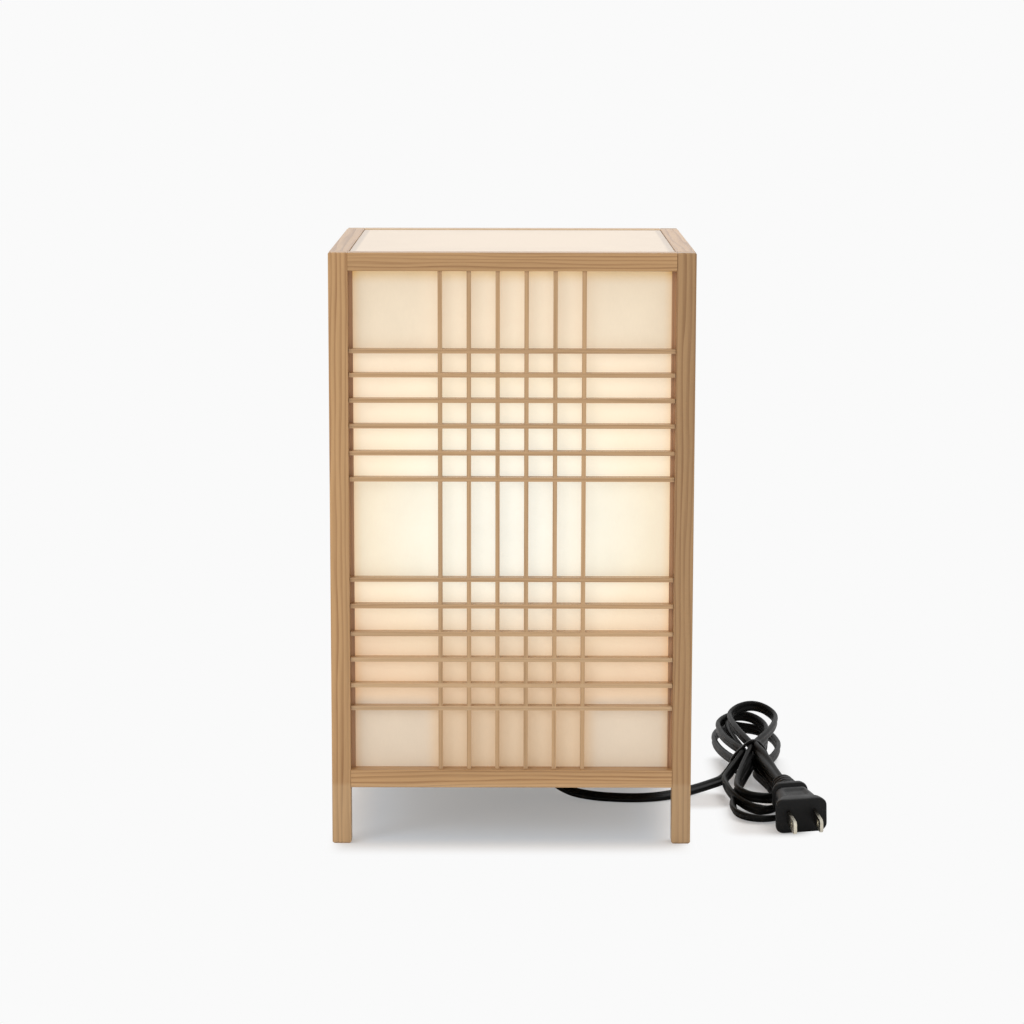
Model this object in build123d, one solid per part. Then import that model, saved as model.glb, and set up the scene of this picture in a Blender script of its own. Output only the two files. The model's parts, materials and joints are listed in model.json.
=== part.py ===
"""Andon lamp with a kumiko lattice, washi sides, a lift-out top sheet and a screw-in bulb.

Millimetres. +Z is up, the front looks along -Y, and the origin lies on the floor under the centre.
"""

from build123d import *
from math import cos, radians, sin, tan
import os

# Overall
frame_side = 170.0          # outer width and depth of the square frame
frame_height = 280.7
post_size = 9.0             # square posts, which run down as the legs
rail_height = 8.5
leg_height = 27.4           # floor to the underside of the bottom rails
arris = 0.5                 # rounding along the edges of posts and rails
foot_chamfer = 0.9

# Stub tenons of the rails in the posts
tenon_length = 2.5
tenon_thickness = 3.0
tenon_shoulder = 1.5        # rail height left above and below a tenon
mortise_end_play = 0.2

# Lattice of one side, depths counted inwards from the frame's outer face
bar_width = 2.0             # face width of a kumiko bar
bar_setback = 1.8           # outer face to the bars' faces
bar_depth = 5.2
bar_end_gap = 0.2           # between a cross bar's end and the post
upright_count = 6
upright_pitch = 13.4
upper_band_gaps = (11.2, 11.9, 12.0, 12.7, 12.3)   # cross bar spacings at full height, outer bar inwards
lower_band_gaps = (11.0, 12.4, 12.3, 13.3, 12.7)
upper_band_drop = 37.3      # top rail's underside to the first cross bar's centre
middle_pane = 47.6          # between the innermost cross bars' centres; the bands share out the rest
lower_band_rise = 29.6      # bottom rail's top to the first cross bar's centre
stile_width = 2.0           # slim strips beside the posts, which the cross bars lap over
stile_depth = 2.0
washi_thickness = 0.4
washi_edge_gap = 0.1

# Top sheet and the ledges that carry it
top_recess = 0.5            # sheet's face below the rails' tops
top_sheet_thickness = 1.6
top_sheet_clearance = 0.3   # round the sheet's edge
ledge_width = 2.4
ledge_height = 4.0

# Base board on its cleats
cleat_width = 5.0
cleat_height = 4.0
board_thickness = 4.0
board_clearance = 0.3
base_screw_shank = 2.5
base_screw_head = 5.0
base_screw_length = 7.0
base_screw_inset = 11.0     # from the posts' inner faces

# Lampholder, heights counted from the board's top
holder_flange_width = 7.0   # flange beyond the base
holder_flange_thickness = 5.0
holder_base_wall = 4.0      # round the terminal chamber
holder_base_height = 27.0
holder_chamber_margin = 2.2 # side rivet's middle to the chamber's wall
holder_web = 3.0            # thickness over the terminal chamber
holder_rounding = 1.0
skirt_wall = 4.65
skirt_height = 39.0
skirt_rim_rounding = 1.5
holder_screw_shank = 3.0
holder_screw_head = 5.5
holder_screw_head_height = 2.0
sleeve_wall = 0.9
sleeve_height = 33.0
sleeve_clearance = 0.1      # sleeve in the skirt
contact_diameter = 7.0
contact_height = 3.5
rivet_diameter = 2.4
rivet_tail = 3.0            # length below the web

# Bulb, heights counted from its foot
cap_diameter = 26.5
cap_height = 21.0
cap_clearance = 0.1         # bulb cap in the sleeve
foot_diameter = 8.0
foot_height = 2.0
insulator_height = 4.0
insulator_top_diameter = 23.5
neck_height = 9.0           # straight neck above the cap, which clears the skirt's rim
housing_height = 38.0       # opaque housing above the cap, neck included
housing_diameter = 52.0     # where the housing meets the globe
housing_wall = 2.0
globe_diameter = 60.0
globe_wall = 1.2
bulb_length = 112.0
light_board_thickness = 1.6
light_board_gap = 0.1       # to the housing's wall

# Flat twin cord, as a round tube of about its section, and what is on it
cord_diameter = 4.2
core_diameter = 2.0
core_pitch = 2.7
core_bend_radius = 2.0
core_crossing_rise = 3.0    # straight below a rivet, and from the gland to where the cores part
gland_flange_diameter = 15.0
gland_flange_thickness = 2.0
gland_barrel_diameter = 11.0
relief_root_diameter = 9.0
relief_tip_diameter = 6.8
relief_length = 20.0
relief_tilt = 45.0          # of the gland's tail, from straight down towards +X

# Hank, in its own axes: along runs backwards from the tie, across runs to the right
hank_centre = (124.3, 37.0)
hank_turn = -2.1            # degrees about Z
hank_back_lobe = (17.5, 39.0, 37.0)      # half width, half length, centre along
hank_front_lobe = (15.0, 47.0, -45.5)
hank_waist = (18.0, 34.0)
hank_profile = (            # side view: along, height
    (-93, 0), (-93, 5.5), (-66, 11), (-42, 14), (0, 20), (40, 27), (77, 27), (77, 0),
)
tie_wall = 0.8
tie_width = 3.0
tie_inner = (18.0, 18.6)    # width and height of its opening
tie_rounding = 7.0          # of the opening's corners

# Plug, along its own axis from its face backwards
plug_face_centre = (139.4, -67.8, 9.3)
plug_yaw = 6.3              # blades turned to the right
plug_pitch = 4.6            # blades turned down
plug_roll = -2.5
plug_flange = (25.0, 17.0, 6.0)          # width, height at the face, and its length
plug_flange_back = (22.6, 16.6)
plug_flange_rounding = 4.0
plug_shoulder = (19.6, 16.2, 18.0)       # at the flange, and its length
plug_shoulder_end = (15.8, 13.2)
plug_groove = (13.6, 10.4, 1.8)
plug_collar = (17.0, 14.2, 4.2)
plug_body_rounding = 3.6
blade_size = (1.5, 6.3, 17.0)            # thickness, width, length in front of the face
blade_pitch = 12.7
blade_root = 8.0                         # length held in the body
blade_tip_chamfer = 1.2
blade_hole = (3.2, 11.5)                 # diameter, distance from the face
plug_relief_root = 12.0
plug_relief_tip = 8.0
plug_relief_length = 18.0
plug_rib_count = 3
plug_rib_width = 2.6
plug_rib_pitch = 4.6
plug_rib_proud = 0.8
plug_space_gap = 0.3                     # between the plug and the hank under it

# Route of the uncoiled cord: from the gland's tip over the floor to the hank, and from the tie to the plug
cord_floor = cord_diameter / 2
lead_route_on = (
    (21.0, -0.4, 7.6),
    (30.5, -2.5, 3.2),
    (42.0, -5.0, cord_floor),
    (58.0, -7.6, cord_floor),
    (74.0, -4.0, cord_floor),
    (87.5, 5.0, cord_floor),
    (99.0, 17.5, cord_floor),
    (110.0, 28.0, cord_floor),
    (118.5, 33.5, cord_floor),
)
tail_route_on = (
    (125.3, 32.5, 19.5),
    (128.4, 12.5, 18.2),
    (132.2, -5.5, 15.0),
)

sleeve_inner = cap_diameter + 2 * cap_clearance
sleeve_outer = sleeve_inner + 2 * sleeve_wall
sleeve_rivet_radius = (sleeve_inner + sleeve_outer) / 4
skirt_bore = sleeve_outer + 2 * sleeve_clearance
skirt_diameter = skirt_bore + 2 * skirt_wall
holder_chamber_diameter = 2 * (sleeve_rivet_radius + holder_chamber_margin)
holder_base_diameter = holder_chamber_diameter + 2 * holder_base_wall
holder_flange_diameter = holder_base_diameter + 2 * holder_flange_width
holder_screw_circle = holder_base_diameter + holder_flange_width
half_side = frame_side / 2
opening = frame_side - 2 * post_size            # between the posts
half_opening = opening / 2
bottom_rail_top = leg_height + rail_height
top_rail_underside = frame_height - rail_height
board_underside = leg_height + cleat_height
board_top = board_underside + board_thickness
holder_top = board_top + holder_base_height
band_space = top_rail_underside - bottom_rail_top - upper_band_drop - middle_pane - lower_band_rise
band_scale = band_space / (sum(upper_band_gaps) + sum(lower_band_gaps))
side_turns = {"front": 0, "right": 90, "back": 180, "left": 270}

nodes = {}


def block(x, y, z):
    """A box from its low and high X, its low and high Y and its low and high Z."""
    size = [high - low for low, high in (x, y, z)]
    centre = [(low + high) / 2 for low, high in (x, y, z)]
    return Pos(*centre) * Box(*size)


def disc(diameter, low, high, x=0.0, y=0.0):
    """An upright cylinder from its low to its high Z."""
    return Pos(x, y, (low + high) / 2) * Cylinder(diameter / 2, high - low)


def cone(low_diameter, high_diameter, low, high):
    """An upright cone from its low to its high Z."""
    return Pos(0, 0, (low + high) / 2) * Cone(low_diameter / 2, high_diameter / 2, high - low)


def tenon_at_end(end, z):
    """Stub tenon of a front rail whose lower edge is at z, at its left (-1) or right (1) end."""
    middle = -half_side + post_size / 2
    along = sorted((end * half_opening, end * (half_opening + tenon_length)))
    across = (middle - tenon_thickness / 2, middle + tenon_thickness / 2)
    return block(along, across, (z + tenon_shoulder, z + rail_height - tenon_shoulder))


def front_rail(z):
    """Rail of the front between its posts, lower edge at z."""
    rail = block((-half_opening, half_opening), (-half_side, -half_side + post_size), (z, z + rail_height))
    rail = fillet(rail.edges().filter_by(Axis.X), arris)
    return rail + tenon_at_end(-1, z) + tenon_at_end(1, z)


def front_left_post():
    """Post with its mortises: those of the front rails, and those of the left rails round the corner."""
    span = (-half_side, -half_side + post_size)
    middle = -half_side + post_size / 2
    post = extrude(Pos(middle, middle) * RectangleRounded(post_size, post_size, arris), frame_height)
    ends = chamfer(block(span, span, (0, frame_height)).faces().sort_by(Axis.Z)[0].edges(), foot_chamfer)
    post &= chamfer(ends.faces().sort_by(Axis.Z)[-1].edges(), arris)
    depth = tenon_length + mortise_end_play
    band = (middle - tenon_thickness / 2, middle + tenon_thickness / 2)
    reach = (-half_opening - depth, -half_opening)
    for z in (leg_height, top_rail_underside):
        height = (z + tenon_shoulder, z + rail_height - tenon_shoulder)
        post -= block(reach, band, height)
        post -= block(band, reach, height)
    return post


def make_frame():
    """Posts and rails, each made at the front and turned to its place."""
    corner_names = ("front_left_post", "front_right_post", "back_right_post", "back_left_post")
    for name, turn in zip(corner_names, (0, 90, 180, 270)):
        nodes[name] = Rot(0, 0, turn) * front_left_post()
    for side, turn in side_turns.items():
        nodes[side + "_top_rail"] = Rot(0, 0, turn) * front_rail(top_rail_underside)
        nodes[side + "_bottom_rail"] = Rot(0, 0, turn) * front_rail(leg_height)


def band_levels(first, gaps, direction):
    """Centre heights of a band's cross bars, from its outer bar inwards."""
    levels = [first]
    for gap in gaps:
        levels.append(levels[-1] + direction * gap * band_scale)
    return levels


def make_side(side, turn):
    """Lattice, stiles and washi of one side."""
    face = -half_side + bar_setback
    back = face + bar_depth
    lap = face + bar_depth / 2                   # uprights keep the back half of each crossing
    upper = band_levels(top_rail_underside - upper_band_drop, upper_band_gaps, -1)
    lower = band_levels(bottom_rail_top + lower_band_rise, lower_band_gaps, 1)
    first_upright = -(upright_count - 1) / 2 * upright_pitch
    places = [first_upright + n * upright_pitch for n in range(upright_count)]
    stile_inner = half_opening - stile_width

    full_height = (bottom_rail_top, top_rail_underside)
    uprights = []
    for x in places:
        bar = block((x - bar_width / 2, x + bar_width / 2), (face, back), full_height)
        for z in upper + lower:
            bar -= block((x - bar_width, x + bar_width), (face, lap), (z - bar_width / 2, z + bar_width / 2))
        uprights.append(bar)

    def cross_bar(z):
        """One cross bar, notched at the back for the uprights and lapped over the stiles."""
        reach = half_opening - bar_end_gap
        height = (z - bar_width / 2, z + bar_width / 2)
        bar = block((-reach, reach), (face, back), height)
        for x in places:
            bar -= block((x - bar_width / 2, x + bar_width / 2), (lap, back), height)
        for ends in ((-half_opening, -stile_inner), (stile_inner, half_opening)):
            bar -= block(ends, (back - stile_depth, back), height)
        return bar

    stiles = [
        block((-half_opening, -stile_inner), (back - stile_depth, back), full_height),
        block((stile_inner, half_opening), (back - stile_depth, back), full_height),
    ]
    washi = block(
        (-half_opening + washi_edge_gap, half_opening - washi_edge_gap),
        (back, back + washi_thickness),
        (bottom_rail_top + washi_edge_gap, top_rail_underside - washi_edge_gap),
    )
    groups = {
        "uprights": uprights,
        "upper_bars": [cross_bar(z) for z in upper],
        "lower_bars": [cross_bar(z) for z in lower],
        "stiles": stiles,
        "washi": [washi],
    }
    for name, pieces in groups.items():
        nodes[side + "_" + name] = [Rot(0, 0, turn) * piece for piece in pieces]


def make_top():
    """Ledges inside the top rails, and the sheet that lies on them."""
    sheet_top = frame_height - top_recess
    ledge_top = sheet_top - top_sheet_thickness
    height = (ledge_top - ledge_height, ledge_top)
    inner = half_opening - ledge_width
    for side, turn in side_turns.items():
        # front and back ledges run right across, the other two fit between them
        reach = half_opening if side in ("front", "back") else inner
        ledge = block((-reach, reach), (-half_opening, -inner), height)
        nodes[side + "_top_ledge"] = Rot(0, 0, turn) * ledge
    half_sheet = half_opening - top_sheet_clearance
    sheet = block((-half_sheet, half_sheet), (-half_sheet, half_sheet), (ledge_top, sheet_top))
    nodes["top_sheet"] = fillet(sheet.edges().filter_by(Axis.Z), arris)


def make_base():
    """Board between the bottom rails, the cleats it lies on, and its screws."""
    inner = half_opening - cleat_width
    half_board = half_opening - board_clearance
    board = block((-half_board, half_board), (-half_board, half_board), (board_underside, board_top))
    board -= disc(gland_barrel_diameter, board_underside, board_top)
    cleats = []
    for side, turn in side_turns.items():
        reach = half_opening if side in ("front", "back") else inner
        cleat = block((-reach, reach), (-half_opening, -inner), (leg_height, board_underside))
        cleats.append(Rot(0, 0, turn) * cleat)

    head_depth = (base_screw_head - base_screw_shank) / 2
    screws = []
    for x in (-half_opening + base_screw_inset, half_opening - base_screw_inset):
        for y in (-half_opening + cleat_width / 2, half_opening - cleat_width / 2):
            head = cone(base_screw_shank, base_screw_head, board_top - head_depth, board_top)
            shank = disc(base_screw_shank, board_top - base_screw_length, board_top - head_depth)
            screws.append(Pos(x, y, 0) * (head + shank))
    for screw in screws:
        board -= screw
        cleats = [cleat - screw for cleat in cleats]
    nodes["base_board"] = board
    nodes["base_cleats"] = cleats
    nodes["base_screws"] = screws


def make_holder():
    """Lampholder: flanged base, skirt, threaded sleeve, contacts and screws."""
    base = disc(holder_flange_diameter, board_top, board_top + holder_flange_thickness)
    base += disc(holder_base_diameter, board_top, holder_top)
    base = fillet(base.edges().filter_by(GeomType.CIRCLE).group_by(Axis.Z)[-1], holder_rounding)
    base -= disc(holder_chamber_diameter, board_top, holder_top - holder_web)

    skirt = disc(skirt_diameter, holder_top, holder_top + skirt_height)
    skirt = fillet(skirt.edges().group_by(Axis.Z)[-1], skirt_rim_rounding)
    skirt -= disc(skirt_bore, holder_top, holder_top + skirt_height)
    sleeve = disc(sleeve_outer, holder_top, holder_top + sleeve_height)
    sleeve -= disc(sleeve_inner, holder_top, holder_top + sleeve_height)

    contact = disc(contact_diameter, holder_top, holder_top + contact_height)
    rivet_low = holder_top - holder_web - rivet_tail
    centre_rivet = disc(rivet_diameter, rivet_low, holder_top)
    side_rivet = disc(rivet_diameter, rivet_low, holder_top, x=sleeve_rivet_radius)
    contacts = [contact + centre_rivet, side_rivet]
    for solid in contacts:
        base -= solid

    screws = []
    for x in (-holder_screw_circle / 2, holder_screw_circle / 2):
        flange_top = board_top + holder_flange_thickness
        shank = disc(holder_screw_shank, board_underside + arris, flange_top, x=x)
        head = disc(holder_screw_head, flange_top, flange_top + holder_screw_head_height, x=x)
        head = fillet(head.edges().group_by(Axis.Z)[-1], holder_screw_head_height / 2)
        screws.append(shank + head)
    for screw in screws:
        base -= screw
        nodes["base_board"] -= screw

    nodes["socket_base"] = base
    nodes["socket_skirt"] = skirt
    nodes["socket_sleeve"] = sleeve
    nodes["socket_contacts"] = contacts
    nodes["socket_screws"] = screws


def make_bulb():
    """Screw-in bulb: foot contact, cap, opaque neck and housing, light board and opal globe."""
    cap_low = foot_height + insulator_height
    cap_top = cap_low + cap_height
    neck_top = cap_top + neck_height
    housing_top = cap_top + housing_height
    foot = disc(foot_diameter, 0, foot_height)
    foot += cone(foot_diameter, insulator_top_diameter, foot_height, cap_low)
    cap = disc(cap_diameter, cap_low, cap_top)

    # straight neck and conical housing, both hollow
    neck_bore = cap_diameter - 2 * housing_wall
    housing_bore = housing_diameter - 2 * housing_wall
    neck = disc(cap_diameter, cap_top, neck_top) - disc(neck_bore, cap_top, neck_top)
    housing = cone(cap_diameter, housing_diameter, neck_top, housing_top)
    housing -= cone(neck_bore, housing_bore, neck_top, housing_top)

    # globe: a ball cut off where it meets the housing's edge
    radius = globe_diameter / 2
    centre_z = bulb_length - radius
    ball = Pos(0, 0, centre_z) * Sphere(radius)
    hollow = Pos(0, 0, centre_z) * Sphere(radius - globe_wall)
    cut = disc(2 * globe_diameter, housing_top, bulb_length + 1)
    globe = (ball - hollow) & cut
    share = 1 - light_board_thickness / (housing_height - neck_height)
    board_diameter = neck_bore + (housing_bore - neck_bore) * share - 2 * light_board_gap
    board = disc(board_diameter, housing_top - light_board_thickness, housing_top)
    place = Pos(0, 0, holder_top + contact_height)
    nodes["bulb_foot"] = place * foot
    nodes["bulb_cap"] = place * cap
    nodes["bulb_neck"] = place * neck
    nodes["bulb_housing"] = place * housing
    nodes["bulb_light_board"] = place * board
    nodes["bulb_globe"] = place * globe


def relief_axis():
    """Plane at the root of the gland's tail, looking along it."""
    tilt = radians(relief_tilt)
    return Plane((0, 0, board_underside - gland_flange_thickness), z_dir=(sin(tilt), 0, -cos(tilt)))


def gland_tip():
    """Point where the cord leaves the gland's tail."""
    return relief_axis().origin + relief_axis().z_dir * relief_length


def core(offset, terminal):
    """One core of the cord, from its terminal's place along X through the gland to the tail's tip."""
    rivet_low = holder_top - holder_web - rivet_tail
    shift = Vector(0, offset, 0)
    points = [
        Vector(terminal, 0, rivet_low),
        Vector(terminal, 0, rivet_low - core_crossing_rise),
        Vector(0, offset, board_top + core_crossing_rise),
        relief_axis().origin + shift,
        gland_tip() + shift,
    ]
    path = FilletPolyline(*points, radius=core_bend_radius)
    return sweep(Plane(path @ 0, z_dir=path % 0) * Circle(core_diameter / 2), path)


def make_gland():
    """Rubber gland in the board with a tapered tail, and the two cores that run through it."""
    low = board_underside - gland_flange_thickness
    gland = disc(gland_flange_diameter, low, board_underside)
    gland += disc(gland_barrel_diameter, board_underside, board_top)
    plane = relief_axis()
    tail_middle = plane.location * Pos(0, 0, relief_length / 2)
    gland += tail_middle * Cone(relief_root_diameter / 2, relief_tip_diameter / 2, relief_length)
    cores = [core(-core_pitch / 2, 0), core(core_pitch / 2, sleeve_rivet_radius)]
    for wire in cores:
        gland -= wire
    nodes["cord_gland"] = gland
    nodes["terminal_wires"] = cores


def corner_radii(points):
    """Arc radii at a route's inner points: 0.45 of the shorter run over the tangent of half the turn."""
    radii = []
    for before, here, after in zip(points, points[1:], points[2:]):
        run_in = here - before
        run_out = after - here
        half_turn = radians(run_in.get_angle(run_out) / 2)
        radii.append(0.45 * min(run_in.length, run_out.length) / tan(half_turn))
    return radii


def cord_tube(name, points):
    """Tube along straight runs joined by tangent arcs, with its radii and its volume printed."""
    points = [Vector(*point) for point in points]
    radii = corner_radii(points)
    path = FilletPolyline(*points, radius=radii)
    tube = sweep(Plane(path @ 0, z_dir=path % 0) * Circle(cord_diameter / 2), path)
    expected = path.length * (cord_diameter / 2) ** 2 * 3.14159265
    print(name, "length", round(path.length, 1), "radii", [round(r, 1) for r in radii],
          "volume ratio", round(tube.volume / expected, 4))
    nodes[name] = tube


def hank_place():
    """Place and heading of the hank on the floor."""
    return Pos(hank_centre[0], hank_centre[1], 0) * Rot(0, 0, hank_turn)


def make_hank(plug_space):
    """Outer shape of the tied hank, two lobes and a waist cut to a side profile, and its snug tie."""
    longest = frame_side
    plan = Rectangle(*hank_waist)
    for half_width, half_length, along in (hank_back_lobe, hank_front_lobe):
        plan += Pos(0, along) * Ellipse(half_width, half_length)
    lobes = extrude(plan, longest)
    profile = Plane.YZ * make_face(Polyline(*hank_profile, close=True))
    hank = hank_place() * (lobes & extrude(profile, longest / 2, both=True))

    # at the tie the hank is squeezed to the tie's opening
    width, height = tie_inner
    middle = Pos(0, tie_wall + height / 2)
    opening_face = middle * RectangleRounded(width, height, tie_rounding)
    outside = (width + 2 * tie_wall, height + 2 * tie_wall)
    outer_face = middle * RectangleRounded(*outside, tie_rounding + tie_wall)
    ring = extrude(Plane.XZ * (outer_face - opening_face), tie_width / 2, both=True)
    around = extrude(Plane.XZ * (Rectangle(longest, longest) - opening_face), tie_width / 2, both=True)
    nodes["cord_tie"] = hank_place() * ring
    nodes["cord_hank"] = hank - plug_space - hank_place() * around


def plug_place():
    """Place of the plug's face; its own +Z runs along the plug backwards, +Y up and +X to the left."""
    heading = Rot(0, 0, plug_yaw) * Rot(plug_pitch, 0, 0) * Rot(0, plug_roll, 0)
    return Pos(*plug_face_centre) * heading * Rot(-90, 0, 0)


def plug_section(width, height, along):
    """Rounded outline across the plug at a distance behind its face."""
    return Pos(0, 0, along) * RectangleRounded(width, height, plug_body_rounding)


def make_plug():
    """Two-blade plug: body, ribbed relief and blades. Returns the space to leave free and the cord's end."""
    place = plug_place()
    width, height, flange_length = plug_flange
    face = RectangleRounded(width, height, plug_flange_rounding)
    back = RectangleRounded(*plug_flange_back, plug_flange_rounding)
    body = loft([face, Pos(0, 0, flange_length) * back])
    along = flange_length + plug_shoulder[2]
    body += loft([plug_section(*plug_shoulder[:2], flange_length), plug_section(*plug_shoulder_end, along)])
    for ring in (plug_groove, plug_collar):
        body += extrude(plug_section(*ring[:2], along), ring[2])
        along += ring[2]

    relief_end = along + plug_relief_length
    relief = cone(plug_relief_root, plug_relief_tip, along, relief_end)
    taper = (plug_relief_tip - plug_relief_root) / plug_relief_length
    for n in range(plug_rib_count):
        low = (n + 1) * plug_rib_pitch - plug_rib_width
        rib_diameter = plug_relief_root + taper * low + 2 * plug_rib_proud
        relief += disc(rib_diameter, along + low, along + low + plug_rib_width)

    thickness, blade_width, length = blade_size
    blades = []
    for x in (-blade_pitch / 2, blade_pitch / 2):
        across = (x - thickness / 2, x + thickness / 2)
        blade = block(across, (-blade_width / 2, blade_width / 2), (-length, blade_root))
        blade = chamfer(blade.edges().filter_by(Axis.X).group_by(Axis.Z)[0], blade_tip_chamfer)
        hole = Rot(0, 90, 0) * Cylinder(blade_hole[0] / 2, 2 * thickness)
        blades.append(blade - Pos(x, 0, -blade_hole[1]) * hole)
    for blade in blades:
        body -= blade

    nodes["plug_body"] = place * body
    nodes["plug_relief"] = place * relief
    nodes["plug_blades"] = [place * blade for blade in blades]

    def space(size, low, high):
        """Room for a stretch of the plug, open upwards."""
        half_width = size[0] / 2 + plug_space_gap
        return block((-half_width, half_width), (-size[1] / 2 - plug_space_gap, size[1]), (low, high))

    room = space(plug_flange, -plug_space_gap, flange_length + plug_space_gap)
    room += space(plug_shoulder, flange_length, along)
    relief_width = plug_relief_root + 2 * plug_rib_proud
    room += space((relief_width, relief_width), along, relief_end + plug_space_gap)
    return place * room, (place * Pos(0, 0, relief_end)).position


make_frame()
for side, turn in side_turns.items():
    make_side(side, turn)
make_top()
make_base()
make_holder()
make_bulb()
make_gland()
plug_space, plug_tip = make_plug()
make_hank(plug_space)
cord_tube("cord_lead", [gland_tip()] + list(lead_route_on))
cord_tube("cord_tail", list(tail_route_on) + [plug_tip])

os.makedirs("parts", exist_ok=True)
for name, piece in nodes.items():
    solids = []
    for shape in piece if isinstance(piece, list) else [piece]:
        solids.extend(shape.solids())
    export_step(Compound(children=solids), os.path.join("parts", name + ".step"))
print(len(nodes), "nodes")
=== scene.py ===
"""Looks of a square andon: waxed softwood frame, kumiko lattice, lit paper sides and a tied flat cord."""

from __future__ import annotations

import json
import logging
import math
from dataclasses import dataclass
from enum import Enum

import bmesh
import bpy
from mathutils import Matrix, Vector

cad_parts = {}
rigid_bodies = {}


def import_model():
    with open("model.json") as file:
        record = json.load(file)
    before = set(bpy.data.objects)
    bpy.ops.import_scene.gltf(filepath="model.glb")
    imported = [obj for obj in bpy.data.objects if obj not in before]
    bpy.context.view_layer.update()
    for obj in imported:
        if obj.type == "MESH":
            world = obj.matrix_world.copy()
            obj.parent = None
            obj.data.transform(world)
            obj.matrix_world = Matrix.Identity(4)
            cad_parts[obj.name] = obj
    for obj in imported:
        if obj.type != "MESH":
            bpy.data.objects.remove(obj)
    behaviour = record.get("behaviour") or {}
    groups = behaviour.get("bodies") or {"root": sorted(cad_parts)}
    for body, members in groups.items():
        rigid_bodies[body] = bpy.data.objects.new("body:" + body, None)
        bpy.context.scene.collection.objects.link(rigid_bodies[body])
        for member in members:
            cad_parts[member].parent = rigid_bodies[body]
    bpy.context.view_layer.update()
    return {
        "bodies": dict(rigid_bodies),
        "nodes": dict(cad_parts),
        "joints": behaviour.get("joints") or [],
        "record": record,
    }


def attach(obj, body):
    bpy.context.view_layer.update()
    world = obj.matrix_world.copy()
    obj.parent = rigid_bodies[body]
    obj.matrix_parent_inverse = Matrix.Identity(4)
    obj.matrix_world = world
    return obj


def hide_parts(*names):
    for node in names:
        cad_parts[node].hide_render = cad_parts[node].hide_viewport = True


MM = 0.001
CREASE = math.radians(40)
BLACK = (0.0, 0.0, 0.0, 1.0)
Rgb = tuple[float, float, float]
Colour = tuple[float, float, float, float]
Place = tuple[float, float, float]
Patch = tuple[tuple[float, float], tuple[float, float], float]
log = logging.getLogger("andon")


def srgb(red: float, green: float, blue: float) -> Colour:
    """Turns a display colour, 0 to 255, into the linear colour that a socket holds.

    Args:
        red: Red on the display.
        green: Green on the display.
        blue: Blue on the display.

    Returns:
        Linear red, green and blue, and an alpha of 1.
    """

    def linear(value: float) -> float:
        """One channel, linear."""
        share = value / 255
        return share / 12.92 if share <= 0.04045 else ((share + 0.055) / 1.055) ** 2.4

    return linear(red), linear(green), linear(blue), 1.0


class Field:
    """A socket on which Python's operators add Math nodes."""

    def __init__(self, nodes: "Nodes", socket: bpy.types.NodeSocket) -> None:
        """Wraps a socket.

        Args:
            nodes: The tree that the socket belongs to.
            socket: An output socket.
        """
        self.nodes = nodes
        self.socket = socket

    def math(self, operation: str, *others: "Field | float") -> "Field":
        """Adds one Math node.

        Args:
            operation: The Math node's operation.
            others: Its further inputs.

        Returns:
            The result as a field.
        """
        return self.nodes.add("ShaderNodeMath", {"operation": operation}, [self, *others])

    def __add__(self, other: "Field | float") -> "Field":
        """Sum."""
        return self.math("ADD", other)

    __radd__ = __add__

    def __sub__(self, other: "Field | float") -> "Field":
        """Difference."""
        return self.math("SUBTRACT", other)

    def __rsub__(self, other: float) -> "Field":
        """A number less this field."""
        return self.nodes.add("ShaderNodeMath", {"operation": "SUBTRACT"}, [other, self])

    def __mul__(self, other: "Field | float") -> "Field":
        """Product."""
        return self.math("MULTIPLY", other)

    __rmul__ = __mul__

    def __truediv__(self, other: "Field | float") -> "Field":
        """Quotient."""
        return self.math("DIVIDE", other)

    def __abs__(self) -> "Field":
        """Size without its sign."""
        return self.math("ABSOLUTE")

    def step(self, low: float, high: float, start: float = 0.0, end: float = 1.0) -> "Field":
        """Maps this field smoothly from one range onto another, and holds it at the ends.

        Args:
            low: Value that gives start.
            high: Value that gives end.
            start: Result at low.
            end: Result at high.

        Returns:
            The mapped field.
        """
        settings = {"interpolation_type": "SMOOTHSTEP"}
        if low > high:
            low, high, start, end = high, low, end, start
        return self.nodes.add("ShaderNodeMapRange", settings, [self, low, high, start, end])


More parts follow.
